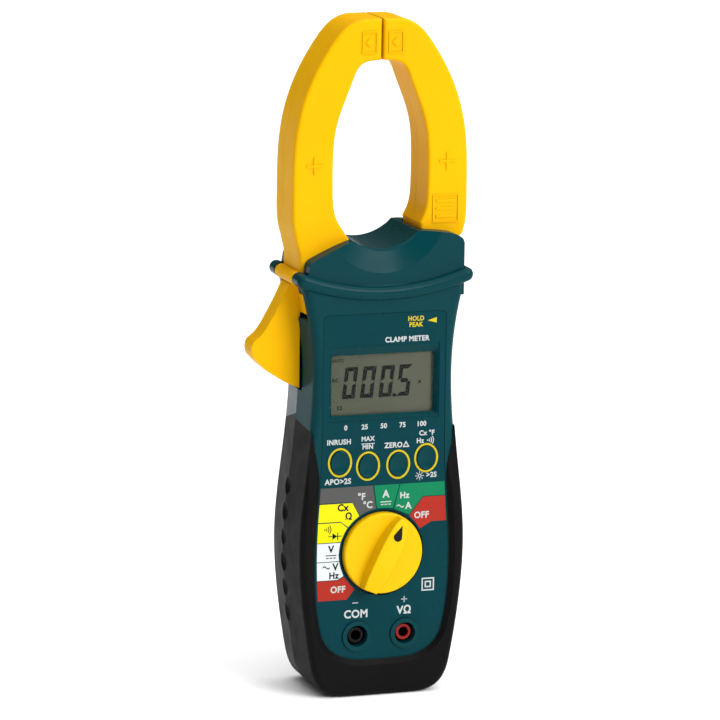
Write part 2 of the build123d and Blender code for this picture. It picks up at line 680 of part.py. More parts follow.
with BuildPart() as hold_switch:
    add(slab(box(HOLD_WALL - 5.0, HOLD_Z, 4.0, 6.0), BOARD_BACK, HOLD_BACK - 0.4))
    with Locations((HOLD_WALL - 3.0, (HOLD_FRONT + HOLD_BACK) / 2 - MID_DEPTH, HOLD_Z)):
        Cylinder(1.0, 0.6, rotation=(0, 90, 0), align=(Align.CENTER, Align.CENTER, Align.MIN))
finish(hold_switch, "hold_switch")


# ---------------------------------------------------------------- rotary switch
def pointed(profile):
    """Turn a profile drawn upright at the origin to the knob's resting angle."""
    return Pos(0, KNOB_Z, 0) * Rot(0, 0, -POINTER_ANGLE) * profile


# The grip ridge is boat-shaped: half its width at heights up the pointer's axis.
RIDGE = [(-15.2, 3.0), (-11.0, 3.8), (-5.0, 4.35), (1.0, 4.45), (7.5, 4.0), (12.7, 2.8),
         (15.2, 1.5)]
with BuildSketch() as ridge_sketch:
    with BuildLine():
        Spline(*[(-half, z) for z, half in RIDGE])
        Line((-RIDGE[-1][1], RIDGE[-1][0]), (RIDGE[-1][1], RIDGE[-1][0]))
        Spline(*[(half, z) for z, half in reversed(RIDGE)])
        Line((RIDGE[0][1], RIDGE[0][0]), (-RIDGE[0][1], RIDGE[0][0]))
    make_face()
ridge = pointed(ridge_sketch.sketch)

with BuildSketch() as drop_sketch:
    with BuildLine():
        ThreePointArc((-1.75, 8.3), (0, 6.4), (1.75, 8.3))
        Line((1.75, 8.3), (0, 12.9))
        Line((0, 12.9), (-1.75, 8.3))
    make_face()
drop = pointed(drop_sketch.sketch)

with BuildPart() as knob_solid:
    add(slab(disc(0, KNOB_Z, KNOB_RADIUS), KNOB_SKIRT, KNOB_WELL_DEPTH - 0.4))
    fillet(knob_solid.faces().sort_by(Axis.Y)[0].edges(), radius=0.9)
    with BuildSketch(facing(KNOB_SKIRT + 1.0)):
        add(ridge)
    extrude(amount=KNOB_SKIRT + 1.0 - KNOB_TOP, taper=4)
    with Locations((0, KNOB_DOME - MID_DEPTH, KNOB_Z)):
        Sphere(KNOB_DOME_RADIUS, mode=Mode.INTERSECT)
    crown = knob_solid.faces().sort_by(Axis.Y)[0]
    fillet(crown.edges(), radius=0.5)
    add(slab(disc(0, KNOB_Z, STEM_RADIUS), KNOB_WELL_DEPTH - 0.5, 7.2))
    add(slab(ring(0, KNOB_Z, STEM_RADIUS + 1, STEM_RADIUS - 0.7), 3.4, 4.3), mode=Mode.SUBTRACT)
knob_lowered = Pos(0, 0.6, 0) * knob_solid.part
inlay = (slab(drop, KNOB_TOP - 2, 0.0) & knob_solid.part) - knob_lowered

with BuildPart() as range_knob:
    add(knob_solid.part)
    add(inlay, mode=Mode.SUBTRACT)
finish(range_knob, "range_knob")

with BuildPart() as knob_pointer:
    add(inlay)
finish(knob_pointer, "knob_pointer")

with BuildPart() as knob_clip:
    add(slab(ring(0, KNOB_Z, STEM_RADIUS + 1.6, STEM_RADIUS - 0.65), 3.5, 4.2))
    add(slab(box(0, KNOB_Z - 6, 3.4, 10), 3, 5), mode=Mode.SUBTRACT)
finish(knob_clip, "knob_clip")

ROTOR_RADIUS = 13.0
with BuildPart() as switch_rotor:
    add(slab(ring(0, KNOB_Z, ROTOR_RADIUS, STEM_RADIUS + 0.02), 4.8, 7.0))
    for side in (-1, 1):
        with Locations((side * ROTOR_RADIUS, 5.9 - MID_DEPTH, KNOB_Z)):
            Cylinder(0.8, 8.0, rotation=(0, 90, 0), mode=Mode.SUBTRACT)
finish(switch_rotor, "switch_rotor")

with BuildPart() as rotor_contacts:
    for spoke in range(3):
        arm = Rot(0, 0, 120 * spoke) * box(0, 8.4, 3.0, 4.6)
        add(slab(Pos(0, KNOB_Z, 0) * arm, 7.02, BOARD_FRONT - 0.1))
finish(rotor_contacts, "rotor_contacts")

DETENT_RADIUS = ROTOR_RADIUS + 0.9
DETENT_NOTCHES = 16         # one click every 22.5 degrees
with BuildSketch() as detent_outline:
    add(ring(0, 0, DETENT_RADIUS + 1.9, DETENT_RADIUS))
    with PolarLocations(DETENT_RADIUS, DETENT_NOTCHES):
        Circle(0.8, mode=Mode.SUBTRACT)
with BuildPart() as detent_ring:
    add(slab(Pos(0, KNOB_Z, 0) * detent_outline.sketch, 4.6, BOARD_FRONT))
finish(detent_ring, "detent_ring")

BALL_RADIUS = 0.75
with BuildPart() as detent_balls:
    for side in (-1, 1):
        with Locations((side * (DETENT_RADIUS - BALL_RADIUS - 0.1), 5.9 - MID_DEPTH, KNOB_Z)):
            Sphere(BALL_RADIUS)
finish(detent_balls, "detent_balls")

with BuildPart() as detent_springs:
    for side in (-1, 1):
        with Locations((side * (ROTOR_RADIUS - 2.2), 5.9 - MID_DEPTH, KNOB_Z)):
            Cylinder(0.7, 3.2, rotation=(0, 90, 0))
            Cylinder(0.45, 3.2, rotation=(0, 90, 0), mode=Mode.SUBTRACT)
finish(detent_springs, "detent_springs")


# ---------------------------------------------------------------- jacks
for name, (x, z) in zip(("com_jack", "volt_jack"), JACK_PLACES):
    with BuildPart() as sleeve:
        add(slab(disc(x, z, SHROUD), PARTING - 0.05, 19.5))
        add(slab(disc(x, z, JACK_POST), JACK_POST_FRONT, PARTING))
        fillet(sleeve.faces().sort_by(Axis.Y)[0].edges(), radius=0.3)
        add(slab(disc(x, z, JACK_BORE), 0, 20), mode=Mode.SUBTRACT)
        add(slab(disc(x, z, JACK_BORE + 0.62), JACK_POST_FRONT + 1.15, 20), mode=Mode.SUBTRACT)
    finish(sleeve, f"{name}_sleeve")
    with BuildPart() as contact:
        add(slab(ring(x, z, JACK_BORE + 0.6, JACK_BORE), JACK_POST_FRONT + 1.2, 20.0))
        add(slab(disc(x, z, JACK_BORE + 0.6), 20.0, 21.0))
    finish(contact, f"{name}_contact")


# ---------------------------------------------------------------- battery and its door
with BuildPart() as battery:
    add(slab(box(0, (BATTERY_LOW + BATTERY_HIGH) / 2, 2 * BATTERY_HALF,
                 BATTERY_HIGH - BATTERY_LOW), BATTERY_FRONT, BATTERY_BACK))
    fillet(battery.edges().filter_by(Axis.Z), radius=2.2)
    for side, radius in ((-1, 2.8), (1, 3.6)):
        with Locations((side * 6.35, (BATTERY_FRONT + BATTERY_BACK) / 2 - MID_DEPTH, BATTERY_HIGH)):
            Cylinder(radius, 2.2, align=(Align.CENTER, Align.CENTER, Align.MIN))
finish(battery, "battery")

with BuildPart() as battery_clips:
    with Locations((0, (BATTERY_FRONT + BATTERY_BACK) / 2 - MID_DEPTH, BATTERY_HIGH + 0.9)):
        Box(25.0, 13.0, 1.4)
    for side, radius in ((-1, 2.9), (1, 3.7)):
        with Locations((side * 6.35, (BATTERY_FRONT + BATTERY_BACK) / 2 - MID_DEPTH, BATTERY_HIGH)):
            Cylinder(radius, 8.0, mode=Mode.SUBTRACT)
finish(battery_clips, "battery_clips")

with BuildPart() as battery_leads:
    for x in (-11.0, 11.0):
        with BuildLine() as run:
            FilletPolyline((x, 18.6 - MID_DEPTH, BATTERY_HIGH + 0.9),
                           (x, 14.0 - MID_DEPTH, BATTERY_HIGH + 0.9),
                           (x, 14.0 - MID_DEPTH, 94.0), (x, BOARD_BACK - MID_DEPTH, 94.0),
                           radius=1.6)
        with BuildSketch(Plane(origin=run.line @ 0, z_dir=run.line % 0)):
            Circle(0.6)
        sweep(path=run.line)
finish(battery_leads, "battery_leads")

with BuildPart() as battery_door:
    add(slab(box(0, (DOOR_LOW + DOOR_HIGH) / 2, 2 * (DOOR_HALF - DOOR_PLAY),
                 DOOR_HIGH - DOOR_LOW - 2 * DOOR_PLAY), DOOR_FRONT + 0.05, BACK))
    fillet(battery_door.faces().sort_by(Axis.Y)[-1].edges(), radius=0.4)
    for row in range(5):
        add(slab(box(0, 36.0 + 3.2 * row, 20.0, 1.2), BACK - 0.4, BACK + 1), mode=Mode.SUBTRACT)
    add(slab(disc(0, DOOR_SCREW_Z, SCREW_HEAD), BACK - 0.9, BACK + 1), mode=Mode.SUBTRACT)
    add(slab(disc(0, DOOR_SCREW_Z, SHANK_RADIUS + 0.02), DOOR_FRONT - 1, BACK + 1), mode=Mode.SUBTRACT)
finish(battery_door, "battery_door")

with BuildPart() as battery_foam:
    add(slab(box(0, BAY_MID, 20.0, 32.0), BATTERY_BACK + 0.1, DOOR_FRONT + 0.05))
finish(battery_foam, "battery_foam")


# ---------------------------------------------------------------- screws
def screw(x, z, seat, tip, head_radius, shank_radius, head_height=1.6, cross=True):
    """A pan-head screw whose head faces the back."""
    with BuildPart() as fastener:
        add(slab(disc(x, z, head_radius), seat, seat + head_height))
        fillet(fastener.faces().sort_by(Axis.Y)[-1].edges(), radius=0.4)
        add(slab(disc(x, z, shank_radius), tip, seat))
        if cross:
            for width, height in ((0.5, head_radius * 1.3), (head_radius * 1.3, 0.5)):
                add(slab(box(x, z, width, height), seat + head_height - 0.8, seat + head_height + 1),
                    mode=Mode.SUBTRACT)
    return fastener.part


with BuildPart() as battery_door_screw:
    add(screw(0, DOOR_SCREW_Z, BACK - 0.9, 29.0, SCREW_HEAD - 0.15, SHANK_RADIUS, 0.9, False))
    add(slab(box(0, DOOR_SCREW_Z, 4.6, 0.8), BACK - 0.5, BACK + 1), mode=Mode.SUBTRACT)
finish(battery_door_screw, "battery_door_screw")

with BuildPart() as case_screws:
    for x, z in CASE_SCREW_PLACES:
        add(screw(x, z, SCREW_SEAT, 11.0, SCREW_HEAD - 0.2, SHANK_RADIUS))
finish(case_screws, "case_screws")

with BuildPart() as thread_inserts:
    for x, z in CASE_SCREW_PLACES:
        add(slab(ring(x, z, INSERT_RADIUS, SHANK_RADIUS), PARTING - 6.0, PARTING - 0.05))
finish(thread_inserts, "thread_inserts")


# ---------------------------------------------------------------- jaws
def jaw_marks(side):
    """Raised marks on the front of a jaw: a plus sign, a framed lozenge and a ruled frame."""
    with BuildPart() as marks:
        lozenge = Pos(side * 5.2, 247.3, 0) * Rot(0, 0, 45) * box(0, 0, 2.4, 2.4)
        shapes = [box(side * 26.1, 201.9, 6.4, 0.9), box(side * 26.1, 201.9, 0.9, 6.4),
                  frame(side * 5.2, 247.3, (6.0, 8.4), (4.9, 7.3)), lozenge]
        if side > 0:
            shapes.append(frame(25.7, 184.0, (10.4, 10.6), (9.4, 9.6)))
            shapes += [box(25.7, 184.0 + row, 7.6, 1.0) for row in (-2.9, 0.0, 2.9)]
        for shape in shapes:
            add(slab(shape, JAW_FRONT - MARK_RISE, JAW_FRONT + 0.2))
    return marks.part


def jaw_screw_places(side):
    return [(side * x, z) for x, z in JAW_SCREW_PLACES]


def jaw_front(outline, cavity, side, extra=None, bore=False):
    """The front shell of a jaw, with posts for its screws."""
    with BuildPart() as shell:
        add(slab(outline, JAW_FRONT, JAW_SEAM - SHELL_GAP / 2))
        front = shell.faces().filter_by(Axis.Y).sort_by(Axis.Y)[0]
        fillet(front.edges(), radius=JAW_ROUND)
        if extra:
            add(slab(extra, TRIGGER_FRONT, JAW_SEAM - SHELL_GAP / 2))
        add(slab(cavity, JAW_FRONT + JAW_WALL, JAW_SEAM), mode=Mode.SUBTRACT)
        for x, z in jaw_screw_places(side):
            add(slab(disc(x, z, 2.1), JAW_FRONT + 1, JAW_SEAM - SHELL_GAP / 2))
            add(slab(disc(x, z, 1.22), 12.0, JAW_SEAM), mode=Mode.SUBTRACT)
        if bore:
            add(slab(hub(BUSH_RADIUS), JAW_FRONT - 1, JAW_SEAM), mode=Mode.SUBTRACT)
        add(jaw_marks(side))
    return shell


def jaw_rear(outline, cavity, side, extra=None, bore=False):
    """The rear shell of a jaw."""
    with BuildPart() as shell:
        add(slab(outline, JAW_SEAM + SHELL_GAP / 2, JAW_BACK))
        rear = shell.faces().filter_by(Axis.Y).sort_by(Axis.Y)[-1]
        fillet(rear.edges(), radius=JAW_ROUND)
        if extra:
            add(slab(extra, JAW_SEAM + SHELL_GAP / 2, TRIGGER_BACK))
        add(slab(cavity, JAW_SEAM, JAW_BACK - JAW_WALL), mode=Mode.SUBTRACT)
        for x, z in jaw_screw_places(side):
            add(slab(disc(x, z, 2.5), JAW_SEAM + SHELL_GAP / 2, JAW_BACK - 1))
            add(slab(disc(x, z, 1.3), JAW_SEAM, JAW_BACK), mode=Mode.SUBTRACT)
            add(slab(disc(x, z, 2.2), JAW_BACK - 1.8, JAW_BACK + 1), mode=Mode.SUBTRACT)
        if bore:
            add(slab(hub(BUSH_RADIUS), JAW_SEAM, JAW_BACK + 1), mode=Mode.SUBTRACT)
    return shell


finish(jaw_front(MOVING_OUTLINE, MOVING_CAVITY, -1, TRIGGER_OUTLINE, True), "moving_jaw_front")
finish(jaw_rear(MOVING_OUTLINE, MOVING_CAVITY, -1, TRIGGER_OUTLINE, True), "moving_jaw_rear")
finish(jaw_front(FIXED_OUTLINE, FIXED_CAVITY, 1), "fixed_jaw_front")
finish(jaw_rear(FIXED_OUTLINE, FIXED_CAVITY, 1), "fixed_jaw_rear")

CORE_NEAR, CORE_FAR = 11.0, 24.0
with BuildPart() as fixed_core:
    add(slab(arm_profile(0.40, 0.80, 8.5), CORE_NEAR, CORE_FAR))
finish(fixed_core, "fixed_core")

with BuildPart() as moving_core:
    add(slab(mirrored(arm_profile(0.40, 0.80, JAW_WALL + 0.3)), CORE_NEAR, CORE_FAR))
finish(moving_core, "moving_core")

with BuildPart() as hall_sensors:
    for depth in (13.5, 20.0):
        add(slab(box(4.6, 248.2, 2.0, 4.4), depth, depth + 3.0))
finish(hall_sensors, "hall_sensors")

with BuildPart() as jaw_board:
    add(slab(box(6.4, 248.2, 1.2, 6.0), 12.0, 24.6))
finish(jaw_board, "jaw_board")

for name, side in (("moving_jaw_screws", -1), ("fixed_jaw_screws", 1)):
    with BuildPart() as fasteners:
        for x, z in jaw_screw_places(side):
            add(screw(x, z, JAW_BACK - 1.8, 13.0, 2.05, 1.2, 1.2))
    finish(fasteners, name)


# ---------------------------------------------------------------- pivot
with BuildPart() as jaw_pivot_pin:
    add(slab(hub(PIN_RADIUS), COLLAR_FRONT + 2.3, COLLAR_REAR - 1.1))
    chamfer(jaw_pivot_pin.edges().filter_by(GeomType.CIRCLE), length=0.3)
finish(jaw_pivot_pin, "jaw_pivot_pin")

with BuildPart() as jaw_pivot_bush:
    add(slab(ring(PIVOT_X, PIVOT_Z, BUSH_RADIUS - 0.02, PIN_RADIUS + 0.05), JAW_FRONT, JAW_BACK))
finish(jaw_pivot_bush, "jaw_pivot_bush")

COIL_RADIUS, COIL_WIRE, COIL_PITCH, COIL_LENGTH = 5.8, 0.45, 1.05, 2.3
with BuildPart() as jaw_spring:
    with BuildLine() as coil:
        Helix(COIL_PITCH, COIL_LENGTH, COIL_RADIUS, center=(PIVOT_X, 3.8 - MID_DEPTH, PIVOT_Z),
              direction=(0, 1, 0))
    with BuildSketch(Plane(origin=coil.line @ 0, z_dir=coil.line % 0)):
        Circle(COIL_WIRE)
    sweep(path=coil.line)
finish(jaw_spring, "jaw_spring")

with BuildPart() as sensor_ribbon:
    with BuildSketch(Plane.YZ.offset(16.5)):
        with BuildLine():
            Polyline((BOARD_BACK - MID_DEPTH, 144.2), (BOARD_BACK - MID_DEPTH, 145.5),
                     (14.0 - MID_DEPTH, 150.0), (16.0 - MID_DEPTH, 159.6),
                     (16.4 - MID_DEPTH, 159.6), (14.4 - MID_DEPTH, 149.8),
                     (BOARD_BACK + 0.4 - MID_DEPTH, 145.2), (BOARD_BACK + 0.4 - MID_DEPTH, 144.2),
                     close=True)
        make_face()
    extrude(amount=5.5)
finish(sensor_ribbon, "sensor_ribbon")
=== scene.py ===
"""Clamp meter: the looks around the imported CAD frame.

+Z runs up the meter, the face panel looks towards -Y, and +X is to the right of a person who
reads the display. Shapes are given in millimetres as x, depth and z, where depth is the distance
behind the face of the case; mm() turns them into metres in the frame. Camera, lights and surface
textures are in metres.
"""
import math

import bmesh
import bpy
from mathutils import Matrix, Vector


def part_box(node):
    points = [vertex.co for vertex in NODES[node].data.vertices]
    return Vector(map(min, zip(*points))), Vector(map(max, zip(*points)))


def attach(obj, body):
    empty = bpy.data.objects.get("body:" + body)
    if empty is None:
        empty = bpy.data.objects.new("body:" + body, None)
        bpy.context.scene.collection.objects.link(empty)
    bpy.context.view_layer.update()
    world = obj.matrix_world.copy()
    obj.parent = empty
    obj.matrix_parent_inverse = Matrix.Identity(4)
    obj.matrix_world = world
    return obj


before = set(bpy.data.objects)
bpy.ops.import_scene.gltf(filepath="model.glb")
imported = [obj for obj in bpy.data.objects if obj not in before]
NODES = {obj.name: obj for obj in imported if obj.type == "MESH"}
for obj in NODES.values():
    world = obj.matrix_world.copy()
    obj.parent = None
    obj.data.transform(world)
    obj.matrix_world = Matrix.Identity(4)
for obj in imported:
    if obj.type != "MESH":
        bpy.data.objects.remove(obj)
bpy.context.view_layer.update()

MID_DEPTH = 17.0            # the depth at which y is 0
KNOB_Z = 55.1

# Depths of the front and back of each printed layer
PRINT_DEPTH = 0.1           # front of the face panel
ZONE_NEAR, ZONE_FAR = PRINT_DEPTH - 0.03, PRINT_DEPTH
INK_NEAR, INK_FAR = PRINT_DEPTH - 0.05, PRINT_DEPTH - 0.005
LCD_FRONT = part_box("lcd_cell")[0].y * 1000 + MID_DEPTH
SEGMENT_NEAR, SEGMENT_FAR = LCD_FRONT - 0.06, LCD_FRONT - 0.01


def mm(x, depth, z):
    return Vector((x * 0.001, (depth - MID_DEPTH) * 0.001, z * 0.001))


# ---------------------------------------------------------------- camera, floor and lights
CAMERA_AIM = mm(-9.8, 0.0, 129.3)
CAMERA_YAW, CAMERA_RISE, CAMERA_ROLL = 19.36, 11.27, 0.81    # degrees
CAMERA_DISTANCE = 1.919
CAMERA_LENS = 257.7
DOME_CENTRE = (0.16, -0.10, 0.98)
DOME_STRENGTH = 3.0
DOME_DIM, DOME_BRIGHT = (0.50, 0.04), (0.95, 1.0)      # position on the ramp, grey level
FLOOR_HALF, FLOOR_GREY, FLOOR_ROUGHNESS = 14.0, 0.93, 0.55
LIGHT_AIM = (0, 0, 0.13)
LIGHTS = {                                             # place, width and height, watts
    "key_light": ((1.1, -2.0, 1.25), (1.3, 1.3), 58.0),
    "rim_light": ((-1.3, 0.9, 0.7), (0.3, 1.4), 1.5),
}


def add_camera():
    yaw, rise = math.radians(CAMERA_YAW), math.radians(CAMERA_RISE)
    back = Vector((-math.sin(yaw) * math.cos(rise), -math.cos(yaw) * math.cos(rise),
                   math.sin(rise)))
    data = bpy.data.cameras.new("camera")
    data.lens = CAMERA_LENS
    data.sensor_width = 36.0
    data.clip_start = 0.05
    data.clip_end = 60.0
    camera = bpy.data.objects.new("camera", data)
    turn = back.to_track_quat("Z", "Y").to_matrix().to_4x4()
    roll = Matrix.Rotation(math.radians(CAMERA_ROLL), 4, "Z")
    camera.matrix_world = Matrix.Translation(CAMERA_AIM + back * CAMERA_DISTANCE) @ turn @ roll
    bpy.context.scene.collection.objects.link(camera)
    bpy.context.scene.camera = camera


def add_lights():
    for name, (place, size, power) in LIGHTS.items():
        data = bpy.data.lights.new(name, "AREA")
        data.shape = "RECTANGLE"
        data.size, data.size_y = size
        data.energy = power
        light = bpy.data.objects.new(name, data)
        towards = Vector(LIGHT_AIM) - Vector(place)
        turn = towards.to_track_quat("-Z", "Y").to_matrix().to_4x4()
        light.matrix_world = Matrix.Translation(Vector(place)) @ turn
        bpy.context.scene.collection.objects.link(light)


def add_world():
    """A soft dome: bright overhead and towards the front right, dim at the horizon."""
    world = bpy.data.worlds.new("studio")
    bpy.context.scene.world = world
    world.use_nodes = True
    nodes, links = world.node_tree.nodes, world.node_tree.links
    nodes.clear()
    place = nodes.new("ShaderNodeTexCoord")
    towards = nodes.new("ShaderNodeVectorMath")
    towards.operation = "DOT_PRODUCT"
    towards.inputs[1].default_value = DOME_CENTRE
    ramp = nodes.new("ShaderNodeValToRGB")
    for element, (position, grey) in zip(ramp.color_ramp.elements, (DOME_DIM, DOME_BRIGHT)):
        element.position = position
        element.color = (grey, grey, grey, 1)
    back = nodes.new("ShaderNodeBackground")
    back.inputs["Strength"].default_value = DOME_STRENGTH
    out = nodes.new("ShaderNodeOutputWorld")
    links.new(place.outputs["Generated"], towards.inputs[0])
    links.new(towards.outputs["Value"], ramp.inputs[0])
    links.new(ramp.outputs["Color"], back.inputs["Color"])
    links.new(back.outputs[0], out.inputs["Surface"])


def add_floor():
    mesh = bpy.data.meshes.new("floor")
    half = FLOOR_HALF
    mesh.from_pydata([(-half, -half, 0), (half, -half, 0), (half, half, 0), (-half, half, 0)], [],
                     [(0, 1, 2, 3)])
    floor = bpy.data.objects.new("floor", mesh)
    bpy.context.scene.collection.objects.link(floor)
    material, _, shader = new_material("floor")
    shader.inputs["Base Color"].default_value = (FLOOR_GREY, FLOOR_GREY, FLOOR_GREY, 1)
    shader.inputs["Roughness"].default_value = FLOOR_ROUGHNESS
    floor.data.materials.append(material)


# ---------------------------------------------------------------- materials
def new_material(name):
    material = bpy.data.materials.new(name)
    material.use_nodes = True
    tree = material.node_tree
    shader = tree.nodes["Principled BSDF"]
    return material, tree, shader


def noise(tree, scale, detail=3.0, rough=0.55, coords=None):
    """Noise in object coordinates; scale is in waves per metre."""
    if coords is None:
        coords = tree.nodes.new("ShaderNodeTexCoord").outputs["Object"]
    node = tree.nodes.new("ShaderNodeTexNoise")
    node.inputs["Scale"].default_value = scale
    node.inputs["Detail"].default_value = detail
    node.inputs["Roughness"].default_value = rough
    tree.links.new(coords, node.inputs["Vector"])
    return node.outputs["Fac"]


def remap(tree, value, low, high, out_low, out_high):
    """Map low..high of a value to out_low..out_high."""
    node = tree.nodes.new("ShaderNodeMapRange")
    node.inputs["From Min"].default_value = low
    node.inputs["From Max"].default_value = high
    node.inputs["To Min"].default_value = out_low
    node.inputs["To Max"].default_value = out_high
    tree.links.new(value, node.inputs["Value"])
    return node.outputs["Result"]


def spread(tree, value, out_low, out_high):
    """Map the middle of a noise, where most of its values lie, to out_low..out_high."""
    return remap(tree, value, 0.3, 0.7, out_low, out_high)


def blend_colours(tree, share, one, two):
    """Mix two colours; each is a tuple or another node's output."""
    node = tree.nodes.new("ShaderNodeMix")
    node.data_type = "RGBA"
    tree.links.new(share, node.inputs["Factor"])
    for socket, colour in ((node.inputs["A"], one), (node.inputs["B"], two)):
        if isinstance(colour, tuple):
            socket.default_value = (*colour, 1)
        else:
            tree.links.new(colour, socket)
    return node.outputs["Result"]


def add_bump(tree, shader, layers):
    """Stack bumps; each layer is (height output, strength, distance in metres)."""
    normal = None
    for height, strength, distance in layers:
        bump = tree.nodes.new("ShaderNodeBump")
        bump.inputs["Strength"].default_value = strength
        bump.inputs["Distance"].default_value = distance
        tree.links.new(height, bump.inputs["Height"])
        if normal:
            tree.links.new(normal, bump.inputs["Normal"])
        normal = bump.outputs["Normal"]
    tree.links.new(normal, shader.inputs["Normal"])


def moulded(name, colour, shade, roughness, grain=2600.0, depth=0.00002, strength=0.35,
            specular=0.5):
    """Moulded plastic: fine spark texture, faint flow marks and patchy gloss."""
    material, tree, shader = new_material(name)
    flow = noise(tree, 35.0, 2.0)
    fine = noise(tree, grain, 2.0)
    patches = noise(tree, 140.0, 4.0)
    tree.links.new(blend_colours(tree, spread(tree, flow, 0, 1), colour, shade),
                   shader.inputs["Base Color"])
    tree.links.new(spread(tree, patches, roughness - 0.05, roughness + 0.06),
                   shader.inputs["Roughness"])
    shader.inputs["Specular IOR Level"].default_value = specular
    add_bump(tree, shader, [(fine, strength, depth)])
    return material


def metal(name, colour, shade, roughness, brushed=900.0):
    """Metal with streaks along its surface; brushed is their fineness in waves per metre."""
    material, tree, shader = new_material(name)
    shader.inputs["Metallic"].default_value = 1.0
    coords = tree.nodes.new("ShaderNodeTexCoord").outputs["Object"]
    stretch = tree.nodes.new("ShaderNodeMapping")
    stretch.inputs["Scale"].default_value = (1, 1, 12)
    tree.links.new(coords, stretch.inputs["Vector"])
    streaks = noise(tree, brushed, 3.0, coords=stretch.outputs["Vector"])
    cloud = noise(tree, 220.0, 3.0, coords=coords)
    tree.links.new(blend_colours(tree, cloud, colour, shade), shader.inputs["Base Color"])
    tree.links.new(spread(tree, streaks, roughness - 0.08, roughness + 0.1),
                   shader.inputs["Roughness"])
    add_bump(tree, shader, [(streaks, 0.3, 0.00001)])
    return material


def printed(name, colour, roughness=0.42):
    """Screen-printed ink: slightly uneven film with a faint grain."""
    material, tree, shader = new_material(name)
    film = noise(tree, 90.0, 3.0)
    dots = noise(tree, 3000.0, 1.0)
    dark = tuple(c * 0.93 for c in colour)
    tree.links.new(blend_colours(tree, film, colour, dark), shader.inputs["Base Color"])
    tree.links.new(spread(tree, dots, roughness - 0.04, roughness + 0.04),
                   shader.inputs["Roughness"])
    shader.inputs["Specular IOR Level"].default_value = 0.1
    add_bump(tree, shader, [(dots, 0.15, 0.00001)])
    return material


LCD_HALF_WIDTH = 0.021


def lcd_material():
    """Grey-green reflective cell with faint clouds, painted a little lighter towards the right as
    painted light.
    """
    material, tree, shader = new_material("lcd_film")
    coords = tree.nodes.new("ShaderNodeTexCoord").outputs["Object"]
    split = tree.nodes.new("ShaderNodeSeparateXYZ")
    tree.links.new(coords, split.inputs[0])
    # Painted light: the cell's colour lightens from left to right, standing in for light falling
    # across it.
    painted_light_share = remap(tree, split.outputs["X"], -LCD_HALF_WIDTH, LCD_HALF_WIDTH, 0, 1)
    cloud = noise(tree, 60.0, 2.0, coords=coords)
    base = blend_colours(tree, painted_light_share, (0.064, 0.074, 0.046), (0.082, 0.088, 0.058))
    tree.links.new(blend_colours(tree, spread(tree, cloud, 0, 0.25), base,
                                 (0.046, 0.050, 0.031)), shader.inputs["Base Color"])
    shader.inputs["Roughness"].default_value = 0.32
    shader.inputs["Specular IOR Level"].default_value = 0.15
    fine = noise(tree, 4000.0, 1.0, coords=coords)
    add_bump(tree, shader, [(fine, 0.1, 0.000005)])
    return material


def glass_material():
    """Clear acrylic: mostly transparent, with a polished reflection."""
    material, tree, shader = new_material("window_acrylic")
    shader.inputs["Base Color"].default_value = (0.02, 0.022, 0.021, 1)
    shader.inputs["Roughness"].default_value = 0.06
    shader.inputs["IOR"].default_value = 1.49
    shader.inputs["Alpha"].default_value = 0.08
    haze = noise(tree, 500.0, 2.0)
    add_bump(tree, shader, [(haze, 0.05, 0.000005)])
    return material


TEAL = (0.0, 0.033, 0.040)
TEAL_SHADE = (0.0, 0.030, 0.036)
YELLOW = (0.66, 0.345, 0.001)
YELLOW_SHADE = (0.64, 0.325, 0.001)

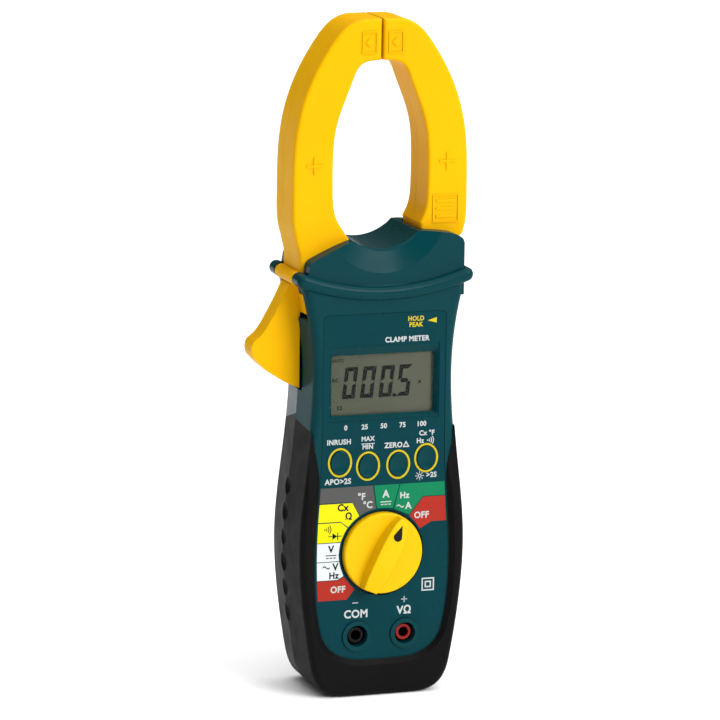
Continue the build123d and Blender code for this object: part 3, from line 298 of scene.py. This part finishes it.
MATERIALS = {
    "teal": moulded("teal_plastic", TEAL, TEAL_SHADE, 0.22, grain=2400.0, specular=0.06),
    "panel": moulded("panel_film", (0.0, 0.031, 0.040), (0.0, 0.028, 0.036), 0.30,
                     grain=3600.0, depth=0.000012, specular=0.05),
    "grip": moulded("black_grip", (0.0030, 0.0030, 0.0029), (0.0022, 0.0022, 0.0021), 0.50,
                    grain=1900.0, depth=0.00005, strength=0.5, specular=0.06),
    "yellow": moulded("yellow_plastic", YELLOW, YELLOW_SHADE, 0.42, grain=2200.0, specular=0.03),
    "knob_yellow": moulded("knob_plastic", (0.66, 0.385, 0.001), (0.64, 0.370, 0.001), 0.36,
                           grain=3000.0, specular=0.08),
    "black": moulded("black_plastic", (0.003, 0.003, 0.003), (0.002, 0.002, 0.002), 0.40,
                     specular=0.12),
    "red": moulded("red_plastic", (0.26, 0.010, 0.008), (0.22, 0.008, 0.006), 0.34, specular=0.15),
    "white": moulded("light_guide", (0.80, 0.82, 0.80), (0.75, 0.77, 0.75), 0.3),
    "wire": moulded("wire_sheath", (0.35, 0.02, 0.015), (0.28, 0.015, 0.012), 0.45),
    "foam": moulded("foam", (0.03, 0.03, 0.032), (0.02, 0.02, 0.02), 0.9, grain=900.0,
                    depth=0.0004, strength=0.9),
    "battery": moulded("battery_wrap", (0.02, 0.022, 0.03), (0.015, 0.016, 0.02), 0.3),
    "zebra": moulded("zebra", (0.12, 0.12, 0.12), (0.03, 0.03, 0.03), 0.6, grain=1600.0),
    "brass": metal("brass", (0.78, 0.55, 0.22), (0.68, 0.46, 0.18), 0.28),
    # Painted shade: the jack contacts get a near-black metal standing for the shade deep inside
    # the jack holes.
    "contact": metal("shade_darkened_contact", (0.060, 0.045, 0.030), (0.045, 0.034, 0.024), 0.40),
    "steel": metal("steel", (0.60, 0.61, 0.63), (0.48, 0.49, 0.51), 0.30),
    "core": metal("core_steel", (0.34, 0.35, 0.37), (0.26, 0.27, 0.29), 0.45, brushed=1800.0),
    "board": moulded("circuit_board", (0.012, 0.16, 0.05), (0.01, 0.12, 0.04), 0.35, grain=500.0),
    "ink_white": printed("ink_white", (0.42, 0.44, 0.44)),
    "ink_teal": printed("ink_teal", (0.0, 0.008, 0.011)),
    "ink_yellow": printed("ink_yellow", (0.60, 0.55, 0.001)),
    "ink_amber": printed("ink_amber", (0.46, 0.36, 0.008)),
    "ink_grey": printed("ink_grey", (0.066, 0.066, 0.064)),
    "ink_green": printed("ink_green", (0.001, 0.155, 0.062)),
    "ink_red": printed("ink_red", (0.30, 0.018, 0.010)),
    "ink_paper": printed("ink_paper", (0.54, 0.56, 0.57)),
    "lcd": lcd_material(),
    "glass": glass_material(),
    "segment": printed("lcd_segment", (0.001, 0.002, 0.002), 0.7),
}

NODE_MATERIALS = {
    "teal": ["front_case", "rear_case", "inrush_key", "max_min_key", "zero_key", "light_key",
             "hold_key", "battery_door"],
    "panel": ["face_panel"],
    "grip": ["front_grip", "rear_grip"],
    "yellow": ["moving_jaw_front", "moving_jaw_rear", "fixed_jaw_front", "fixed_jaw_rear"],
    "knob_yellow": ["range_knob"],
    "black": ["com_jack_sleeve", "buzzer", "switch_rotor", "detent_ring", "knob_pointer",
              "lcd_holder", "battery_clips", "hold_switch", "board_components", "hall_sensors"],
    "red": ["volt_jack_sleeve"],
    "white": ["backlight"],
    "wire": ["battery_leads", "sensor_ribbon"],
    "foam": ["battery_foam"],
    "battery": ["battery"],
    "zebra": ["zebra_strips"],
    "brass": ["thread_inserts", "jaw_pivot_bush", "rotor_contacts"],
    "contact": ["com_jack_contact", "volt_jack_contact"],
    "steel": ["case_screws", "battery_door_screw", "moving_jaw_screws", "fixed_jaw_screws",
              "jaw_pivot_pin", "jaw_spring", "knob_clip", "detent_balls", "detent_springs",
              "key_domes"],
    "core": ["moving_core", "fixed_core"],
    "board": ["main_board", "jaw_board"],
    "lcd": ["lcd_cell"],
    "glass": ["display_window"],
}


def dress_nodes():
    for key, names in NODE_MATERIALS.items():
        for name in names:
            node = NODES[name]
            node.data.materials.clear()
            node.data.materials.append(MATERIALS[key])


# ---------------------------------------------------------------- mesh helpers
def add_piece(name, mesh, material, body):
    piece = bpy.data.objects.new(name, mesh)
    bpy.context.scene.collection.objects.link(piece)
    mesh.materials.append(MATERIALS[material])
    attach(piece, body)


def prism(build, outline, near, far):
    """Add a flat plate with this outline, a list of (x, z) in mm, to a bmesh."""
    front = [build.verts.new(mm(x, near, z)) for x, z in outline]
    back = [build.verts.new(mm(x, far, z)) for x, z in outline]
    build.faces.new(front)
    build.faces.new(back[::-1])
    count = len(outline)
    for i in range(count):
        j = (i + 1) % count
        build.faces.new([front[i], back[i], back[j], front[j]])


def band(build, outer, inner, near, far):
    """Add a flat band between two closed outlines with equal numbers of points."""
    rows = [[build.verts.new(mm(x, depth, z)) for x, z in outline]
            for outline, depth in ((outer, near), (inner, near), (inner, far), (outer, far))]
    count = len(outer)
    for i in range(count):
        j = (i + 1) % count
        for a, b in ((0, 1), (1, 2), (2, 3), (3, 0)):
            build.faces.new([rows[a][i], rows[a][j], rows[b][j], rows[b][i]])


def oval(x, z, width, height, count=64):
    """The outline of an oval centred on x, z."""
    return [(x + width / 2 * math.cos(2 * math.pi * i / count),
             z + height / 2 * math.sin(2 * math.pi * i / count)) for i in range(count)]


def stroke(build, points, width, near, far):
    """Add thin straight strokes along a path of (x, z) points."""
    for (x0, z0), (x1, z1) in zip(points, points[1:]):
        length = math.hypot(x1 - x0, z1 - z0)
        ax, az = (x1 - x0) / length * width / 2, (z1 - z0) / length * width / 2
        prism(build, [(x0 - ax - az, z0 - az + ax), (x0 - ax + az, z0 - az - ax),
                      (x1 + ax + az, z1 + az - ax), (x1 + ax - az, z1 + az + ax)], near, far)


def mesh_from(build, name):
    """Turn a bmesh into a mesh whose faces all look outwards."""
    bmesh.ops.recalc_face_normals(build, faces=build.faces)
    mesh = bpy.data.meshes.new(name)
    build.to_mesh(mesh)
    build.free()
    return mesh


CAPITAL_SHARE = 0.73        # height of a capital in the built-in font, as a share of its size
LETTER_SPACING = 1.06
LETTER_WEIGHT, ZONE_LETTER_WEIGHT = 0.042, 0.05       # thickening, as a share of the height
PANEL_SQUEEZE, HOLD_SQUEEZE = 0.95, 0.9               # width of the lettering


def text_into(build, text, x, z, height, near, far, weight=LETTER_WEIGHT, squeeze=1.0):
    """Add lettering whose capitals are height mm tall, centred on x, z."""
    curve = bpy.data.curves.new("lettering", "FONT")
    curve.body = text
    curve.align_x = "CENTER"
    curve.align_y = "CENTER"
    curve.size = height / CAPITAL_SHARE
    curve.offset = weight * height
    curve.extrude = (far - near) / 2
    curve.space_character = LETTER_SPACING
    curve.resolution_u = 3
    holder = bpy.data.objects.new("lettering", curve)
    bpy.context.scene.collection.objects.link(holder)
    bpy.context.view_layer.update()
    mesh = bpy.data.meshes.new_from_object(holder)
    place = (Matrix.Translation(mm(x, (near + far) / 2, z)) @ Matrix.Rotation(math.pi / 2, 4, "X")
             @ Matrix.Diagonal((0.001 * squeeze, 0.001, 0.001, 1)))
    mesh.transform(place)
    build.from_mesh(mesh)
    bpy.data.objects.remove(holder)
    bpy.data.curves.remove(curve)
    bpy.data.meshes.remove(mesh)


# ---------------------------------------------------------------- printed range zones
ZONE_GAP_RADIUS = 17.1      # the zones stop at this circle round the knob
ARC_STEP = 0.06             # radians

ZONES = {
    "zone_temperature": ("ink_grey", [(-24.6, 81.0), (-3.9, 81.0), (-2.55, 71.9), (-8.9, 69.6),
                                      (-12.3, 75.2), (-24.9, 75.2)]),
    "zone_resistance": ("ink_yellow", [(-24.9, 74.8), (-12.0, 74.8), (-9.2, 69.6), (-13.5, 65.6),
                                       (-16.6, 67.9), (-25.4, 67.9)]),
    "zone_continuity": ("ink_yellow", [(-25.4, 67.5), (-16.5, 67.5), (-13.8, 65.3), (-16.4, 60.1),
                                       (-25.7, 60.1)]),
    "zone_volts_direct": ("ink_paper", [(-25.7, 59.8), (-16.5, 59.8), (-17.2, 55.0), (-16.9, 52.8),
                                        (-25.75, 52.8)]),
    "zone_volts_alternating": ("ink_paper", [(-25.75, 52.5), (-16.9, 52.5), (-15.2, 46.9),
                                             (-17.6, 45.6), (-25.6, 45.6)]),
    "zone_off_left": ("ink_red", [(-25.6, 45.3), (-17.6, 45.3), (-14.9, 46.5), (-10.7, 41.5),
                                  (-13.8, 37.7), (-25.2, 37.7)]),
    "zone_amps_direct": ("ink_green", [(-3.4, 81.0), (6.6, 81.0), (4.2, 71.8), (-2.2, 72.2)]),
    "zone_amps_alternating": ("ink_green", [(7.0, 81.0), (24.6, 81.0), (24.9, 75.8), (16.0, 75.8),
                                            (10.6, 69.0), (4.6, 71.6)]),
    "zone_off_right": ("ink_red", [(16.2, 75.5), (24.9, 75.5), (25.5, 65.9), (19.6, 65.9),
                                   (14.9, 63.3), (10.8, 68.7)]),
}


def outside_knob(outline):
    """Push the outline's points out to the ring that clears the knob."""
    moved = []
    for x, z in outline:
        radius = math.hypot(x, z - KNOB_Z)
        push = max(1.0, ZONE_GAP_RADIUS / radius)
        moved.append((x * push, KNOB_Z + (z - KNOB_Z) * push))
    return moved


def on_gap_circle(x, z):
    return abs(math.hypot(x, z - KNOB_Z) - ZONE_GAP_RADIUS) < 0.3


def zone_outline(corners):
    """Corners joined by straight edges, or by an arc round the knob where an edge would cut it."""
    corners = outside_knob(corners)
    outline = []
    for (x0, z0), (x1, z1) in zip(corners, corners[1:] + corners[:1]):
        outline.append((x0, z0))
        if on_gap_circle(x0, z0) and on_gap_circle(x1, z1):
            a0, a1 = math.atan2(z0 - KNOB_Z, x0), math.atan2(z1 - KNOB_Z, x1)
            turn = (a1 - a0 + math.pi) % (2 * math.pi) - math.pi
            steps = max(2, int(abs(turn) / ARC_STEP))
            for k in range(1, steps):
                angle = a0 + turn * k / steps
                outline.append((ZONE_GAP_RADIUS * math.cos(angle),
                                KNOB_Z + ZONE_GAP_RADIUS * math.sin(angle)))
    return outline


def add_zones():
    for name, (material, corners) in ZONES.items():
        build = bmesh.new()
        prism(build, zone_outline(corners), ZONE_NEAR, ZONE_FAR)
        add_piece(name, mesh_from(build, name), material, "housing")


# ---------------------------------------------------------------- lettering
WHITE_TEXT = [               # text, x, z, height of the capitals
    ("INRUSH", -17.6, 98.3, 2.0), ("MAX", -6.2, 99.0, 1.8), ("MIN", -6.2, 95.9, 1.8),
    ("ZERO△", 5.4, 96.0, 2.05), ("Cx °F", 17.2, 100.0, 1.9), ("Hz", 14.6, 97.1, 1.9),
    ("APO>2S", -17.8, 83.2, 2.15), (">2S", 19.3, 83.8, 2.0),
    ("°F", -8.4, 76.9, 2.6), ("°C", -5.9, 73.6, 2.6),
    ("A", 1.3, 77.4, 2.9), ("Hz", 8.7, 76.5, 2.4), ("A", 10.3, 72.4, 2.7),
    ("OFF", 15.6, 68.5, 2.5), ("OFF", -17.3, 41.7, 2.5),
    ("COM", -10.0, 31.8, 3.1), ("VΩ", 9.2, 32.1, 3.1),
    ("0", -15.0, 103.6, 1.9), ("25", -7.5, 103.6, 1.9), ("50", 0.0, 103.6, 1.9),
    ("75", 7.5, 103.6, 1.9), ("100", 15.0, 103.6, 1.9),
    ("CLAMP METER", 8.8, 136.3, 2.0),
]
TEAL_TEXT = [
    ("Cx", -15.7, 73.1, 2.7), ("Ω", -13.4, 69.6, 2.7),
    ("V", -20.2, 57.4, 2.7), ("V", -18.4, 50.5, 2.7), ("Hz", -19.0, 47.2, 2.5),
]
AMBER_TEXT = [("HOLD", 12.2, 143.9, 1.8), ("PEAK", 12.2, 141.6, 1.8)]

WHITE_RULES = [              # the bar between MAX and MIN, the jacks' minus and plus
    ([(-8.6, 97.2), (-3.6, 97.2)], 0.28),
    ([(-11.3, 36.2), (-9.3, 36.2)], 0.32),
    ([(8.2, 36.4), (10.2, 36.4)], 0.32), ([(9.2, 35.4), (9.2, 37.4)], 0.32),
]
HOLD_ARROW = [(16.8, 143.0), (20.4, 144.1), (20.4, 142.0)]
KEY_RING_OUTER, KEY_RING_INNER = (9.5, 11.2), (8.0, 9.7)      # width and height

SIGN_LINE, ARC_LINE, LAMP_LINE = 0.38, 0.34, 0.24
WAVE_RISE, WAVE_HALF_LINE, WAVE_STEPS = 0.45, 0.24, 12


def alternating_sign(build, x, z, width):
    """The alternating-current sign: one wave."""
    shares = [k / WAVE_STEPS for k in range(WAVE_STEPS + 1)]
    wave = [(x + width * (share - 0.5), z + WAVE_RISE * math.sin(2 * math.pi * share))
            for share in shares]
    above = [(px, pz + WAVE_HALF_LINE) for px, pz in wave]
    below = [(px, pz - WAVE_HALF_LINE) for px, pz in reversed(wave)]
    prism(build, above + below, INK_NEAR, INK_FAR)


def direct_sign(build, x, z, width):
    """The direct-current sign: a line over three dashes."""
    stroke(build, [(x - width / 2, z + 0.5), (x + width / 2, z + 0.5)], SIGN_LINE,
           INK_NEAR, INK_FAR)
    for k in (-1, 0, 1):
        middle, half = x + k * width * 0.37, width * 0.085
        stroke(build, [(middle - half, z - 0.5), (middle + half, z - 0.5)], SIGN_LINE,
               INK_NEAR, INK_FAR)


def beeper_sign(build, x, z, size):
    """A dot and three arcs that grow to the right."""
    dot_x = x - size
    prism(build, oval(dot_x, z, 0.6, 0.6, count=12), INK_NEAR, INK_FAR)
    turns = [math.radians(degrees) for degrees in range(-40, 41, 10)]
    for k in range(3):
        radius = size * (0.55 + 0.42 * k)
        outside, inside = ([(dot_x + r * math.cos(a), z + r * math.sin(a)) for a in turns]
                           for r in (radius, radius - ARC_LINE))
        prism(build, outside + inside[::-1], INK_NEAR, INK_FAR)


def diode_sign(build, x, z, size):
    """A line through a triangle and a bar."""
    stroke(build, [(x - size, z), (x + size, z)], 0.3, INK_NEAR, INK_FAR)
    prism(build, [(x - size * 0.4, z + size * 0.5), (x - size * 0.4, z - size * 0.5),
                  (x + size * 0.35, z)], INK_NEAR, INK_FAR)
    stroke(build, [(x + size * 0.42, z - size * 0.5), (x + size * 0.42, z + size * 0.5)], 0.35,
           INK_NEAR, INK_FAR)


def square_frame(build, x, z, size, line):
    outer, inner = ([(x - half, z - half), (x + half, z - half), (x + half, z + half),
                     (x - half, z + half)] for half in (size / 2, size / 2 - line))
    band(build, outer, inner, INK_NEAR, INK_FAR)


def lamp_sign(build, x, z, radius):
    """A ring with eight rays."""
    band(build, oval(x, z, radius, radius, count=24),
         oval(x, z, radius * 0.6, radius * 0.6, count=24), INK_NEAR, INK_FAR)
    for k in range(8):
        angle = math.pi * k / 4
        stroke(build, [(x + radius * 0.72 * math.cos(angle), z + radius * 0.72 * math.sin(angle)),
                       (x + radius * 1.1 * math.cos(angle), z + radius * 1.1 * math.sin(angle))],
               LAMP_LINE, INK_NEAR, INK_FAR)


def add_print(build, name, material):
    add_piece(name, mesh_from(build, name), material, "housing")


def add_white_print():
    build = bmesh.new()
    for text, x, z, height in WHITE_TEXT:
        text_into(build, text, x, z, height, INK_NEAR, INK_FAR, squeeze=PANEL_SQUEEZE)
    for points, line in WHITE_RULES:
        stroke(build, points, line, INK_NEAR, INK_FAR)
    beeper_sign(build, 19.4, 97.2, 1.8)
    lamp_sign(build, 14.6, 83.7, 1.5)
    direct_sign(build, 1.3, 74.0, 3.9)
    alternating_sign(build, 7.1, 72.5, 2.9)
    for size in (5.0, 2.5):
        square_frame(build, 18.6, 41.6, size, 0.5)
    add_print(build, "panel_lettering", "ink_white")


def add_teal_print():
    build = bmesh.new()
    for text, x, z, height in TEAL_TEXT:
        text_into(build, text, x, z, height, INK_NEAR, INK_FAR, weight=ZONE_LETTER_WEIGHT,
                  squeeze=PANEL_SQUEEZE)
    direct_sign(build, -20.2, 54.6, 3.9)
    alternating_sign(build, -22.0, 50.5, 3.0)
    beeper_sign(build, -20.9, 65.1, 1.9)
    diode_sign(build, -18.7, 62.4, 2.5)
    add_print(build, "zone_lettering", "ink_teal")


def add_amber_print():
    build = bmesh.new()
    for text, x, z, height in AMBER_TEXT:
        text_into(build, text, x, z, height, INK_NEAR, INK_FAR, squeeze=HOLD_SQUEEZE)
    prism(build, HOLD_ARROW, INK_NEAR, INK_FAR)
    add_print(build, "hold_lettering", "ink_amber")


def add_key_rings():
    build = bmesh.new()
    for name in ("inrush_key", "max_min_key", "zero_key", "light_key"):
        low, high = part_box(name)
        x, z = (low.x + high.x) * 500, (low.z + high.z) * 500      # the middle, in mm
        band(build, oval(x, z, *KEY_RING_OUTER), oval(x, z, *KEY_RING_INNER), INK_NEAR, INK_FAR)
    add_print(build, "key_rings", "ink_amber")


# ---------------------------------------------------------------- display
SEGMENTS = {"0": "abcdef", "5": "acdfg"}
DIGIT_WIDTH, DIGIT_HEIGHT, DIGIT_LINE = 5.2, 12.0, 1.6
DIGIT_SLANT, SEGMENT_GAP = 0.12, 0.12
DIGITS = [("0", -12.4), ("0", -5.2), ("0", 2.1), ("5", 9.1)]      # figure and x
DIGIT_Z = 120.0
POINT_X, POINT_Z, POINT_SIZE = 5.2, 114.5, 1.5
DISPLAY_TEXT = [("AUTO", -17.2, 128.6, 1.2), ("AC", -18.2, 121.2, 1.5), ("A", 15.2, 119.0, 1.5)]
BATTERY_SIGN = [(-17.2, 110.2), (-15.6, 110.2), (-15.6, 111.2), (-17.2, 111.2), (-17.2, 110.2)]
BATTERY_LINE = 0.35


def digit_into(build, figure, x, z):
    """A slanted seven-segment figure whose centre is at x, z."""
    w, h, t, gap = DIGIT_WIDTH / 2, DIGIT_HEIGHT / 2, DIGIT_LINE, SEGMENT_GAP
    shapes = {
        "a": [(-w, h), (w, h), (w - t, h - t), (-w + t, h - t)],
        "d": [(-w, -h), (-w + t, -h + t), (w - t, -h + t), (w, -h)],
        "g": [(-w + t, t / 2), (w - t, t / 2), (w - t / 2, 0), (w - t, -t / 2), (-w + t, -t / 2),
              (-w + t / 2, 0)],
        "f": [(-w, h - gap), (-w + t, h - t - gap), (-w + t, t / 2 + gap), (-w + 0.1, gap)],
        "e": [(-w + 0.1, -gap), (-w + t, -t / 2 - gap), (-w + t, -h + t + gap), (-w, -h + gap)],
        "b": [(w, h - gap), (w - 0.1, gap), (w - t, t / 2 + gap), (w - t, h - t - gap)],
        "c": [(w - 0.1, -gap), (w, -h + gap), (w - t, -h + t + gap), (w - t, -t / 2 - gap)],
    }
    for key in SEGMENTS[figure]:
        outline = [(x + px + pz * DIGIT_SLANT, z + pz) for px, pz in shapes[key]]
        prism(build, outline, SEGMENT_NEAR, SEGMENT_FAR)


def add_display():
    digits = bmesh.new()
    for figure, x in DIGITS:
        digit_into(digits, figure, x, DIGIT_Z)
    prism(digits, oval(POINT_X, POINT_Z, POINT_SIZE, POINT_SIZE, count=16),
          SEGMENT_NEAR, SEGMENT_FAR)
    add_piece("display_digits", mesh_from(digits, "display_digits"), "segment", "housing")
    signs = bmesh.new()
    for text, x, z, height in DISPLAY_TEXT:
        text_into(signs, text, x, z, height, SEGMENT_NEAR, SEGMENT_FAR)
    stroke(signs, BATTERY_SIGN, BATTERY_LINE, SEGMENT_NEAR, SEGMENT_FAR)
    add_piece("display_signs", mesh_from(signs, "display_signs"), "segment", "housing")


# ---------------------------------------------------------------- the scene
bpy.context.scene.view_settings.view_transform = "Standard"
add_camera()
add_world()
add_floor()
add_lights()
dress_nodes()
add_zones()
add_white_print()
add_teal_print()
add_amber_print()
add_key_rings()
add_display()
